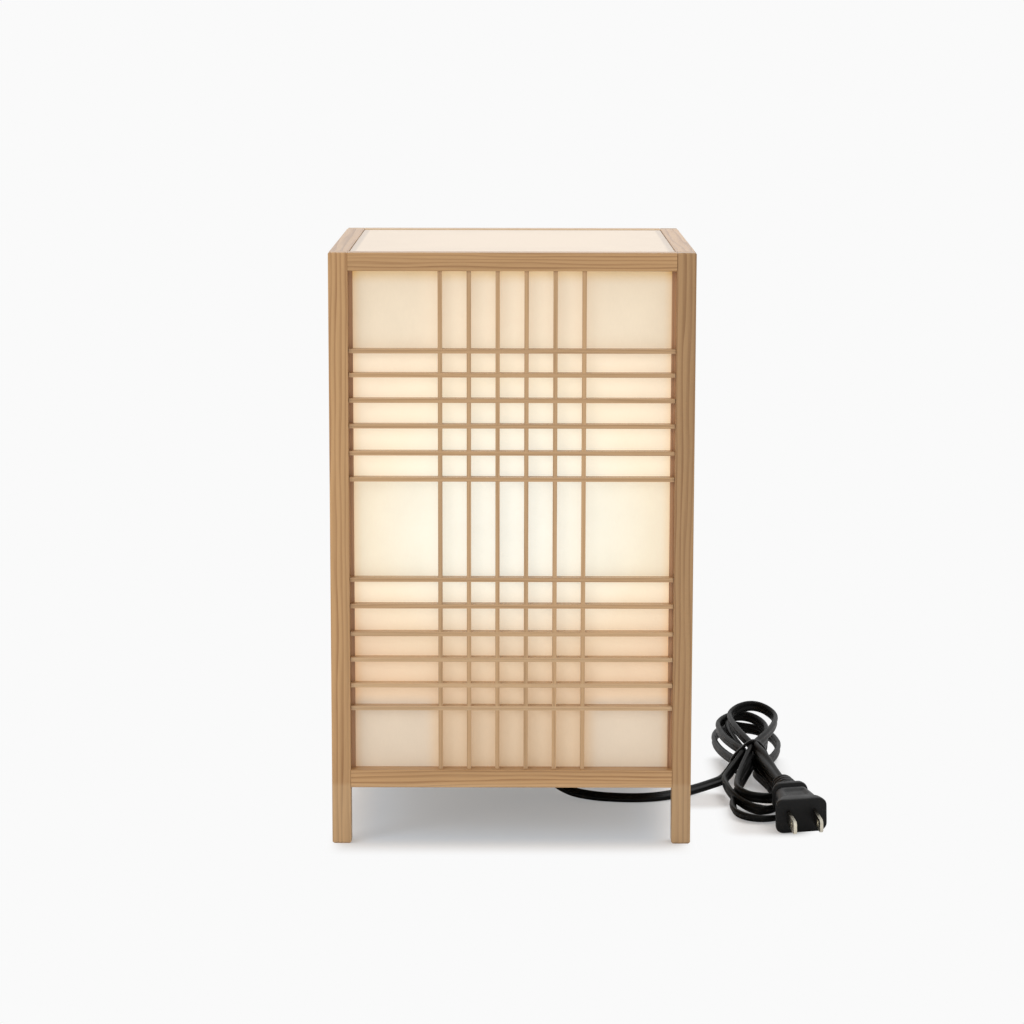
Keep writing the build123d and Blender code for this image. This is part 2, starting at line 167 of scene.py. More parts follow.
class Nodes:
    """A node tree with one method that adds any node."""

    def __init__(self, tree: bpy.types.NodeTree) -> None:
        """Wraps a tree.

        Args:
            tree: A shader or geometry tree.
        """
        self.tree = tree

    def add(self, kind: str, settings: dict, inputs: list | dict, output: int | str = 0) -> Field:
        """Adds a node.

        Args:
            kind: The node's type.
            settings: Attributes that are set before its sockets, with "stops" for a colour ramp.
            inputs: Values or fields for its sockets, in order or by name. None leaves a socket.
            output: Which output to return.

        Returns:
            That output as a field.
        """
        node = self.tree.nodes.new(kind)
        for name, value in settings.items():
            if name == "stops":
                self._set_stops(node.color_ramp, value)
            else:
                setattr(node, name, value)
        pairs = inputs.items() if isinstance(inputs, dict) else enumerate(inputs)
        for key, value in pairs:
            if isinstance(value, Field):
                self.tree.links.new(value.socket, node.inputs[key])
            elif value is not None:
                node.inputs[key].default_value = value
        return Field(self, node.outputs[output] if len(node.outputs) else None)

    @staticmethod
    def _set_stops(ramp: bpy.types.ColorRamp, stops: list[tuple[float, Colour]]) -> None:
        """Gives a ramp its stops.

        Args:
            ramp: The ramp.
            stops: Position and colour of each stop, in order.
        """
        while len(ramp.elements) < len(stops):
            ramp.elements.new(1.0)
        for element, (position, colour) in zip(ramp.elements, stops):
            element.position = position
            element.color = colour

    def mix(
        self, share: Field | float, first: Field | Colour, second: Field | Colour, blend: str = "MIX"
    ) -> Field:
        """Mixes two colours.

        Args:
            share: How much of the second colour.
            first: A colour.
            second: A colour.
            blend: The blending mode.

        Returns:
            The mixed colour.
        """
        settings = {"data_type": "RGBA", "blend_type": blend}
        return self.add("ShaderNodeMix", settings, {0: share, 6: first, 7: second}, 2)

    def place(self) -> tuple[Field, Field, Field]:
        """Place on the object.

        Returns:
            X, Y and Z in millimetres.
        """
        coordinates = self.add("ShaderNodeTexCoord", {}, [], "Object")
        scaled = self.add("ShaderNodeVectorMath", {"operation": "SCALE"}, {0: coordinates, 3: 1000.0})
        split = self.tree.nodes.new("ShaderNodeSeparateXYZ")
        self.tree.links.new(scaled.socket, split.inputs[0])
        return tuple(Field(self, output) for output in split.outputs)

    def vector(self, x: Field | float, y: Field | float, z: Field | float) -> Field:
        """Joins three values to a vector."""
        return self.add("ShaderNodeCombineXYZ", {}, [x, y, z])

    def grey(self, value: Field) -> Field:
        """A colour with the same value in each channel."""
        return self.vector(value, value, value)

    def noise(self, vector: Field, scale: float = 1.0, detail: float = 2.0, roughness: float = 0.5) -> Field:
        """Smooth noise from 0 to 1.

        Args:
            vector: Where it is read.
            scale: Its scale.
            detail: Its octaves.
            roughness: The share of its fine octaves.

        Returns:
            The noise's value.
        """
        inputs = {"Vector": vector, "Scale": scale, "Detail": detail, "Roughness": roughness}
        return self.add("ShaderNodeTexNoise", {}, inputs, 0)


class Paint:
    """A new material with its tree and its shader."""

    def __init__(self, name: str, **constants: float | Colour) -> None:
        """Makes the material.

        Args:
            name: The finish's name.
            constants: Values for the shader's own sockets, with _ for each space in a name.
        """
        self.material = bpy.data.materials.new(name)
        self.material.use_nodes = True
        self.nodes = Nodes(self.material.node_tree)
        self.shader = self.material.node_tree.nodes["Principled BSDF"]
        for key, value in constants.items():
            self.shader.inputs[key.replace("_", " ")].default_value = value

    def set(self, socket: str, value: Field) -> None:
        """Links a field to one of the shader's sockets."""
        self.nodes.tree.links.new(value.socket, self.shader.inputs[socket])

    def bump(self, height: Field, depth: float, strength: float = 1.0) -> None:
        """Raises the surface by a field.

        Args:
            height: From 0 to 1.
            depth: Millimetres from 0 to 1.
            strength: Share of it that shows.
        """
        inputs = {"Strength": strength, "Distance": depth * MM, "Height": height}
        self.set("Normal", self.nodes.add("ShaderNodeBump", {}, inputs, "Normal"))


class Grain(Enum):
    """Which way the wood of a piece runs."""

    UPRIGHT = "up"
    AROUND = "along its side of the square"
    ACROSS = "from left to right"


@dataclass(frozen=True)
class Wood:
    """Straight-grained softwood under a thin wax, with sizes in millimetres.

    Below one pair of heights the wood is painted paler by the given share, as painted light. The back rail's
    inner top edge, given by its height and place, gets a painted highlight of the given share.
    """

    name: str
    light: Rgb
    dark: Rgb
    grain: Grain
    ring: float = 1.9
    wander: float = 2.4
    lines: float = 0.8
    # Painted shade: the share of the colour left at the right side, where less light falls.
    fade: float = 1.0
    lit_below: tuple[float, float, float] = (30.5, 27.5, 0.2)
    edge_highlight: tuple[float, float, float] = (280.2, 76.0, 0.8)
    painted_light_colour: Rgb = (228, 200, 160)

    def _turned(self, x: Field, y: Field, z: Field) -> tuple[Field, Field, Field]:
        """Turns a place to the grain.

        Args:
            x: Place from left to right.
            y: Place from front to back.
            z: Height.

        Returns:
            The place along the grain, and the two places across it.
        """
        if self.grain is Grain.UPRIGHT:
            return z, x, y
        if self.grain is Grain.ACROSS:
            return x, y, z
        facing = abs(y).math("GREATER_THAN", abs(x))
        return y + (x - y) * facing, x + (y - x) * facing, z

    def build(self) -> bpy.types.Material:
        """Makes the finish.

        Returns:
            Its material.
        """
        paint = Paint(self.name, IOR=1.45, Specular_IOR_Level=0.4, Coat_Weight=0.45, Coat_Roughness=0.22)
        nodes = paint.nodes
        x, y, z = nodes.place()
        along, u, v = self._turned(x, y, z)

        def noise(across: float, length: float, detail: float) -> Field:
            """Noise drawn out along the grain."""
            return nodes.noise(nodes.vector(u * across, v * across, along * length), 1.0, detail)

        slant = (0.45, 0.9) if self.grain is Grain.AROUND else (0.8, 0.6)
        depth = u * slant[0] + v * slant[1] + noise(0.11, 0.009, 2.0) * (2 * self.wander)
        ring = (depth / self.ring).math("FRACT")
        line = ring.step(0.30, 0.88) * ring.step(0.93, 1.0, 1.0, 0.0)
        weight = noise(0.33, 0.004, 1.0).step(0.3, 0.7, 0.45, 1.0)
        streak = noise(0.9, 0.02, 2.0)
        fibre = noise(2.6, 0.07, 3.0)
        share = line * weight * self.lines + (fibre - 0.5) * 0.45 + (streak - 0.5) * 0.7
        colour = nodes.mix(share, srgb(*self.light), srgb(*self.dark))
        # Painted light: paler wood below a height, and a painted highlight along the back rail's inner top
        # edge.
        start, end, most = self.lit_below
        height, place, bright = self.edge_highlight
        edge_highlight = z.step(height - 0.1, height + 0.1) * abs(y - place).step(1.2, 0.6)
        colour = nodes.mix(z.step(start, end) * most + edge_highlight * bright, colour, srgb(*self.painted_light_colour))
        # The tone varies at random along the grain, and is also painted darker towards the right as painted
        # shade.
        tone_and_shade = noise(0.06, 0.003, 1.0).step(0.3, 0.7, 0.93, 1.06) * x.step(-70.0, 80.0, 1.0, self.fade)
        paint.set("Base Color", nodes.mix(1.0, colour, nodes.grey(tone_and_shade), "MULTIPLY"))
        paint.set("Roughness", fibre * 0.14 + 0.38)
        paint.bump(fibre * 0.5 + line * 0.5, 0.03, 0.7)
        return paint.material


@dataclass(frozen=True)
class LitPaper:
    """Handmade paper lit from inside by the bulb, with its fibres and cloudy thickness.

    Places are in millimetres, and a pair of them is where an effect starts and where it is full.
    """

    name: str = "washi"
    paper: Rgb = (205, 190, 170)
    seen: float = 0.64
    bulb_height: float = 152.7
    bulb_depth: float = 78.1025
    reach: tuple[float, float] = (78.0, 150.0)
    lower_band: tuple[float, float] = (136.7, 88.7)
    beside_post: tuple[float, float] = (69.5, 75.5)
    under_rail: tuple[float, float] = (265.0, 272.0)
    bottom_pane: tuple[float, float] = (72.0, 66.0)
    top_pane: tuple[float, float] = (228.0, 240.0)
    middle_pane: tuple[float, float, float] = (149.7, 27.0, 20.0)
    outer_tint: tuple[float, float] = (34.0, 42.0)
    outer_pane: tuple[float, float] = (34.0, 46.0)
    shade_height: tuple[float, float] = (112.0, 60.0)
    shade_width: tuple[float, float] = (62.0, 12.0)

    def _glow(self, nodes: Nodes, across: Field, z: Field) -> Field:
        """Colour of the light, from the bulb's place and from what shades each part of the side.

        Args:
            nodes: The finish's nodes.
            across: Distance from the side's middle line.
            z: Height.

        Returns:
            The colour.
        """
        height = z - self.bulb_height
        distance = (across * across * 1.1 + height * height + self.bulb_depth**2).math("SQRT")
        near, far = self.reach
        stops = [
            (0.0, srgb(255, 253, 240)),
            (0.16, srgb(255, 249, 230)),
            (0.36, srgb(253, 240, 214)),
            (0.60, srgb(248, 231, 205)),
            (1.0, srgb(238, 221, 195)),
        ]
        glow = nodes.add("ShaderNodeValToRGB", {"stops": stops}, [(distance - near) / (far - near)], "Color")
        paler = nodes.mix(across.step(*self.outer_tint), (1.02, 1.05, 1.06, 1), (0.97, 1.07, 1.19, 1))
        tints = (
            (z.step(*self.lower_band), (0.85, 0.76, 0.70, 1)),
            (across.step(*self.beside_post) * 0.75, (1.0, 0.88, 0.74, 1)),
            (z.step(*self.under_rail), (1.0, 0.92, 0.78, 1)),
            (z.step(*self.bottom_pane), paler),
            (z.step(*self.shade_height) * across.step(*self.shade_width) * 0.10, BLACK),
        )
        for share, tint in tints:
            glow = nodes.mix(share, glow, nodes.mix(1.0, glow, tint, "MULTIPLY"))
        return glow

    def build(self) -> bpy.types.Material:
        """Makes the finish.

        Returns:
            Its material.
        """
        paint = Paint(self.name, Base_Color=srgb(*self.paper), Roughness=0.85, Specular_IOR_Level=0.15)
        paint.shader.inputs["Emission Strength"].default_value = 1.0
        nodes = paint.nodes
        x, y, z = nodes.place()
        across = abs(x).math("MINIMUM", abs(y))
        cloud = nodes.noise(nodes.vector(x, y, z), 0.05, 3.0, 0.6)
        fibre = nodes.noise(nodes.vector(x, y, z * 0.35), 0.9, 3.0, 0.65)
        flakes = (cloud - 0.5) * 0.10 + (fibre - 0.5) * 0.05 + 1.0
        glow = nodes.mix(1.0, self._glow(nodes, across, z), nodes.grey(flakes), "MULTIPLY")
        middle, outer, inner = self.middle_pane
        open_pane = abs(z - middle).step(outer, inner) + z.step(*self.top_pane)
        open_pane = open_pane + z.step(*self.bottom_pane) * 0.6
        open_pane = open_pane * across.step(*self.outer_pane, 0.5, 1.0)
        paper = nodes.mix(open_pane * 0.24 + self.seen, BLACK, srgb(*self.paper))
        paint.set("Emission Color", nodes.mix(1.0, glow, paper, "SUBTRACT"))
        paint.bump(fibre, 0.05, 0.5)
        return paint.material


@dataclass(frozen=True)
class LitSheet:
    """Paper-faced sheet of the top, lit up to the ledges that it lies on, with places in millimetres."""

    name: str = "top_sheet"
    paper: Rgb = (222, 210, 198)
    glow: Colour = (0.16, 0.13, 0.09, 1.0)
    lit_edge: tuple[float, float] = (73.8, 72.2)
    fading: tuple[float, float] = (75.0, 10.0)

    def build(self) -> bpy.types.Material:
        """Makes the finish.

        Returns:
            Its material.
        """
        paint = Paint(self.name, Base_Color=srgb(*self.paper), Roughness=0.7, Specular_IOR_Level=0.2)
        paint.shader.inputs["Emission Strength"].default_value = 1.0
        nodes = paint.nodes
        x, y, z = nodes.place()
        reach = abs(x).math("MAXIMUM", abs(y))
        lit = reach.step(*self.lit_edge)
        cloud = nodes.noise(nodes.vector(x, y, z), 0.06, 3.0, 0.6)
        fibre = nodes.noise(nodes.vector(x * 0.4, y, z), 0.9, 3.0, 0.65)
        middle = reach.step(*self.fading, 0.85, 1.1)
        strength = lit * middle * ((cloud - 0.5) * 0.3 + (fibre - 0.5) * 0.2 + 1.0)
        paint.set("Emission Color", nodes.mix(strength, BLACK, self.glow))
        paint.bump(fibre, 0.05, 0.4)
        return paint.material


@dataclass(frozen=True)
class Moulded:
    """Moulded plastic, rubber or thermoset, faintly mottled and finely textured."""

    name: str
    colour: Rgb
    roughness: float
    mottle: float = 0.12
    texture: float = 0.01
    specular: float = 0.5

    def build(self) -> bpy.types.Material:
        """Makes the finish.

        Returns:
            Its material.
        """
        paint = Paint(self.name, IOR=1.5, Specular_IOR_Level=self.specular)
        nodes = paint.nodes
        x, y, z = nodes.place()
        where = nodes.vector(x, y, z)
        patch = nodes.noise(where, 0.12, 3.0)
        fine = nodes.noise(where, 6.0, 2.0)
        light = tuple(min(255.0, c * (1 + self.mottle) + 2) for c in self.colour)
        paint.set("Base Color", nodes.mix(patch.step(0.3, 0.7), srgb(*self.colour), srgb(*light)))
        paint.set("Roughness", (patch - 0.5) * 0.16 + (fine - 0.5) * 0.1 + self.roughness)
        paint.bump(fine, self.texture, 0.8)
        return paint.material


@dataclass(frozen=True)
class Metal:
    """Plated or bare metal with fine drawing marks, and painted shade further back than a given place, in
    millimetres.
    """

    name: str
    colour: Rgb
    roughness: float
    marks: tuple[float, float, float] = (0.4, 0.4, 8.0)
    shaded_behind: float = 1000.0
    shadow: Rgb = (40, 37, 32)

    def build(self) -> bpy.types.Material:
        """Makes the finish.

        Returns:
            Its material.
        """
        paint = Paint(self.name, Metallic=1.0)
        nodes = paint.nodes
        x, y, z = nodes.place()
        mark = nodes.noise(nodes.vector(x * self.marks[0], y * self.marks[1], z * self.marks[2]), 1.0, 3.0)
        haze = nodes.noise(nodes.vector(x, y, z), 0.2, 2.0)
        dull = tuple(c * 0.86 for c in self.colour)
        colour = nodes.mix(haze.step(0.35, 0.7), srgb(*self.colour), srgb(*dull))
        # Painted shade: darker further back, where the blades meet the plug's dark body.
        dark = y.step(self.shaded_behind - 4.0, self.shaded_behind + 4.0) * 0.85
        paint.set("Base Color", nodes.mix(dark, colour, srgb(*self.shadow)))
        paint.set("Roughness", (mark - 0.5) * 0.22 + self.roughness)
        paint.bump(mark, 0.01, 0.4)
        return paint.material


@dataclass(frozen=True)
class Opal:
    """Opal bulb glass or plastic that glows, brighter above the two heights of its neck, in millimetres."""

    name: str = "bulb_opal"
    opal: Rgb = (244, 240, 230)
    warm: Rgb = (238, 205, 160)
    bright: Rgb = (255, 244, 220)
    neck: tuple[float, float] = (128.0, 150.0)

    def build(self) -> bpy.types.Material:
        """Makes the finish.

        Returns:
            Its material.
        """
        paint = Paint(self.name, Base_Color=srgb(*self.opal), Roughness=0.35)
        paint.shader.inputs["Emission Strength"].default_value = 1.0
        nodes = paint.nodes
        x, y, z = nodes.place()
        speck = nodes.noise(nodes.vector(x, y, z), 0.5, 2.0) * 0.06
        share = z.step(*self.neck) + speck
        paint.set("Emission Color", nodes.mix(share, srgb(*self.warm), srgb(*self.bright)))
        return paint.material


class Finishes:
    """Every finish of the lamp, made once."""

    def __init__(self) -> None:
        """Makes them."""
        frame = {"light": (196, 153, 104), "dark": (153, 109, 65)}
        strip = {"light": (196, 158, 115), "dark": (156, 117, 78), "ring": 1.5, "lines": 0.55}
        board = {"light": (214, 184, 146), "dark": (176, 138, 98), "ring": 2.6, "wander": 4.0}
        # The posts are painted darker towards the right: painted shade, with the light falling from the left.
        self.post = Wood("post_wood", grain=Grain.UPRIGHT, fade=0.8, **frame).build()
        self.rail = Wood("rail_wood", grain=Grain.AROUND, ring=1.5, **frame).build()
        self.upright = Wood("kumiko_upright_wood", grain=Grain.UPRIGHT, **strip).build()
        # The lower cross bars are painted paler: painted light on their lit faces.
        self.cross = Wood("kumiko_cross_wood", grain=Grain.AROUND, lit_below=(112.0, 90.0, 0.22), **strip).build()
        # The stiles get a darker copy of the lattice's wood: painted shade in the recess beside the posts.
        self.shaded_stile = Wood("shaded_stile_wood", (184, 138, 97), (140, 96, 60), Grain.UPRIGHT).build()
        self.board = Wood("board_wood", grain=Grain.ACROSS, **board).build()
        self.ledge = Wood("ledge_wood", grain=Grain.AROUND, **board).build()
        self.washi = LitPaper().build()
        self.sheet = LitSheet().build()
        self.cord = Moulded("cord_black", (11, 11, 10), 0.42, 0.25, 0.02, 0.11).build()
        self.plug = Moulded("plug_black", (16, 16, 16), 0.42, 0.2, 0.02, 0.17).build()
        self.tie = Moulded("tie_black", (9, 9, 9), 0.40, 0.2, 0.02, 0.12).build()
        self.wire = Moulded("wire_black", (34, 34, 35), 0.45).build()
        self.insulator = Moulded("insulator_black", (24, 23, 23), 0.2, 0.1).build()
        self.holder = Moulded("holder_white", (232, 230, 224), 0.3, 0.02).build()
        self.housing = Moulded("bulb_white", (236, 235, 231), 0.45, 0.02).build()
        self.light_board = Moulded("light_board_white", (222, 226, 220), 0.4, 0.03).build()
        self.opal = Opal().build()
        # The blades are painted dark towards their roots: painted shade by the plug's body.
        self.blade = Metal("blade_nickel", (226, 220, 202), 0.28, shaded_behind=-76.5).build()
        self.sleeve = Metal("sleeve_nickel", (206, 200, 190), 0.26).build()
        self.brass = Metal("contact_brass", (214, 178, 108), 0.30).build()
        self.screw = Metal("screw_zinc", (200, 200, 198), 0.34).build()

    def dress(self, nodes: dict[str, bpy.types.Object]) -> None:
        """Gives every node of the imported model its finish.

        Args:
            nodes: The frame's objects by name.
        """
        by_ending = {
            "_post": self.post,
            "_rail": self.rail,
            "_ledge": self.ledge,
            "_uprights": self.upright,
            "_stiles": self.shaded_stile,
            "_bars": self.cross,
            "_washi": self.washi,
            "top_sheet": self.sheet,
            "base_board": self.board,
            "base_cleats": self.ledge,
            "_screws": self.screw,
            "socket_base": self.holder,
            "socket_skirt": self.holder,
            "socket_sleeve": self.sleeve,
            "socket_contacts": self.brass,
            "bulb_cap": self.sleeve,
            "bulb_foot": self.insulator,
            "bulb_neck": self.housing,
            "bulb_housing": self.housing,
            "bulb_light_board": self.light_board,
            "bulb_globe": self.opal,
            "cord_gland": self.cord,
            "cord_lead": self.cord,
            "cord_hank": self.cord,
            "cord_tail": self.cord,
            "terminal_wires": self.wire,
            "cord_tie": self.tie,
            "plug_body": self.plug,
            "plug_relief": self.plug,
            "plug_blades": self.blade,
        }
        for name, node in nodes.items():
            endings = [ending for ending in by_ending if name.endswith(ending)]
            if not endings:
                log.warning("no finish for %s", name)
                continue
            material = by_ending[max(endings, key=len)]
            if not node.data.materials:
                node.data.materials.append(material)
            for slot in node.material_slots:
                slot.material = material
        log.info("dressed %d nodes", len(nodes))


def placed(name: str, data: bpy.types.ID) -> bpy.types.Object:
    """Puts a mesh, curve, lamp or camera into the scene.

    Args:
        name: The object's name.
        data: What it shows.

    Returns:
        The object.
    """
    made = bpy.data.objects.new(name, data)
    bpy.context.scene.collection.objects.link(made)
    return made


@dataclass
class Studio:
    """Floor, backdrop, lamps and camera.

    A patch is the middle and half the size of a rectangle on the floor, and the width over which it fades, in
    millimetres. Other places are in metres.
    """

    white: Rgb = (250, 250, 250)
    room: float = 0.74
    floor_reach: float = 400.0
    floor_colour: Rgb = (246, 246, 246)
    lamp_shadow: Patch = ((0, 0), (76, 82), 26.0)
    lamp_sides: tuple[float, float] = (88.0, 79.0)
    cord_shadows: tuple[Patch, ...] = (((124, 8), (10, 70), 14.0), ((98, -4), (7, 8), 13.0))
    shadow_lift: float = 0.27
    under_lamp: Patch = ((0, 0), (62, 72), 20.0)
    cool_shadow_tint: Colour = (0.70, 0.79, 0.90, 1)
    camera_place: Place = (0.00032, -1.4644, 0.3852)
    camera_angles: Place = (80.72, -0.095, 0.026)
    camera_lens: float = 105.26

    def build(self) -> None:
        """Makes all of it."""
        self._camera()
        self._floor()
        self._room()
        self._softbox("key_softbox", (0.9, 0.8, 2.0), (0.03, 0.0, 0.05), size=1.3, power=15.0)
        self._softbox("front_softbox", (-1.7, -1.6, 1.1), (0.0, 0.0, 0.12), size=1.0, power=11.0)

    def _camera(self) -> None:
        """The camera in front of the lamp and a little above it."""
        data = bpy.data.cameras.new("camera")
        data.sensor_width = 36.0
        data.lens = self.camera_lens
        data.clip_end = 1000
        camera = placed("camera", data)
        camera.location = self.camera_place
        camera.rotation_euler = tuple(math.radians(angle) for angle in self.camera_angles)
        bpy.context.scene.camera = camera

    def _floor(self) -> None:
        """A wide pale floor that keeps the shadows close to the lamp and the cord, with a painted cool tint
        in the shade under the lamp.
        """
        mesh = bpy.data.meshes.new("floor")
        r = self.floor_reach
        mesh.from_pydata([(-r, -r, 0), (r, -r, 0), (r, r, 0), (-r, r, 0)], [], [(0, 1, 2, 3)])
        floor = placed("floor", mesh)
        colour = srgb(*self.floor_colour)
        paint = Paint("floor", Base_Color=colour, Roughness=0.9, Specular_IOR_Level=0.0)
        nodes = paint.nodes
        x, y, _ = nodes.place()

        def patch(middle: tuple[float, float], half: tuple[float, float], fade: float) -> Field:
            """A rectangle of the floor.

            Args:
                middle: Its middle.
                half: Half its size.
                fade: The width over which it fades.

            Returns:
                1 on it, and 0 away from it.
            """
            dx = (abs(x - middle[0]) - half[0]).math("MAXIMUM", 0.0)
            dy = (abs(y - middle[1]) - half[1]).math("MAXIMUM", 0.0)
            return (dx * dx + dy * dy).math("SQRT").step(fade, 0.0)

        kept = patch(*self.lamp_shadow) * abs(x).step(*self.lamp_sides)
        for shadow in self.cord_shadows:
            kept = kept.math("MAXIMUM", patch(*shadow))
        # Painted shade: a cooler, darker floor colour under the lamp, against the warm light bounced into its
        # shadow.
        paint.set("Base Color", nodes.mix(patch(*self.under_lamp), colour, self.cool_shadow_tint))
        seen = nodes.add("ShaderNodeLightPath", {}, [], "Is Camera Ray")
        plain = nodes.add("ShaderNodeEmission", {}, [srgb(*self.white), 1.0])
        surface = Field(nodes, paint.shader.outputs[0])
        share = (1.0 - kept * (1.0 - self.shadow_lift)) * seen
        both = nodes.add("ShaderNodeMixShader", {}, [share, surface, plain])
        nodes.tree.links.new(both.socket, nodes.tree.nodes["Material Output"].inputs[0])
        mesh.materials.append(paint.material)

    def _room(self) -> None:
        """A white room, plainly lit, that the camera sees as the floor's white."""
        world = bpy.data.worlds.new("room")
        bpy.context.scene.world = world
        world.use_nodes = True
        nodes = Nodes(world.node_tree)
        light = nodes.tree.nodes["Background"]
        light.inputs["Color"].default_value = (1, 1, 1, 1)
        light.inputs["Strength"].default_value = self.room
        backdrop = nodes.add("ShaderNodeBackground", {}, [srgb(*self.white), 1.0])
        seen = nodes.add("ShaderNodeLightPath", {}, [], "Is Camera Ray")
        mirrored = nodes.add("ShaderNodeLightPath", {}, [], "Is Glossy Ray")
        share = seen.math("MAXIMUM", mirrored)
        both = nodes.add("ShaderNodeMixShader", {}, [share, Field(nodes, light.outputs[0]), backdrop])
        nodes.tree.links.new(both.socket, nodes.tree.nodes["World Output"].inputs[0])

    @staticmethod
    def _softbox(name: str, place: Place, target: Place, size: float, power: float) -> None:
        """A square softbox.

        Args:
            name: Its name.
            place: Where it hangs.
            target: What it points at.
            size: Its side.
            power: Its power in watts.
        """
        data = bpy.data.lights.new(name, "AREA")
        data.size = size
        data.energy = power
        lamp = placed(name, data)
        lamp.location = place
        lamp.rotation_euler = (Vector(target) - Vector(place)).to_track_quat("-Z", "Y").to_euler()


def skin(
    name: str,
    rings: list[list[Vector]],
    finish: bpy.types.Material,
    closed: bool = False,
    place: Matrix = Matrix.Identity(4),
) -> bpy.types.Object:
    """Makes a smooth piece from rings of points.

    Args:
        name: The piece's name.
        rings: Rings with the same number of points each.
        finish: The piece's material.
        closed: Whether the last ring joins the first. If not, both ends get a cap.
        place: Where the piece goes, if its rings lie elsewhere.

    Returns:
        The piece.
    """
    build = bmesh.new()
    made = [[build.verts.new(point) for point in ring] for ring in rings]
    pairs = list(zip(made, made[1:]))
    if closed:
        pairs.append((made[-1], made[0]))
    for one, two in pairs:
        for k in range(len(one)):
            j = (k + 1) % len(one)
            build.faces.new((one[k], one[j], two[j], two[k]))
    if not closed:
        build.faces.new(made[0])
        build.faces.new(list(reversed(made[-1])))
    bmesh.ops.recalc_face_normals(build, faces=build.faces)
    mesh = bpy.data.meshes.new(name)
    build.to_mesh(mesh)
    build.free()
    mesh.transform(place)
    mesh.materials.append(finish)
    for polygon in mesh.polygons:
        polygon.use_smooth = True
    log.info("%s: %d faces", name, len(mesh.polygons))
    return placed(name, mesh)


@dataclass
class Turn:
    """One turn of the hank: a lobe that starts and ends at the tie.

    The heights are those of its right side, its tip and its left side. The tip is an arc, long_tip times as
    long as half its width, and narrower towards its end the more pointed it is.
    """

    length: float
    left: float
    right: float
    heights: tuple[float, float, float]
    long_tip: float = 1.1
    pointed: float = 1.0


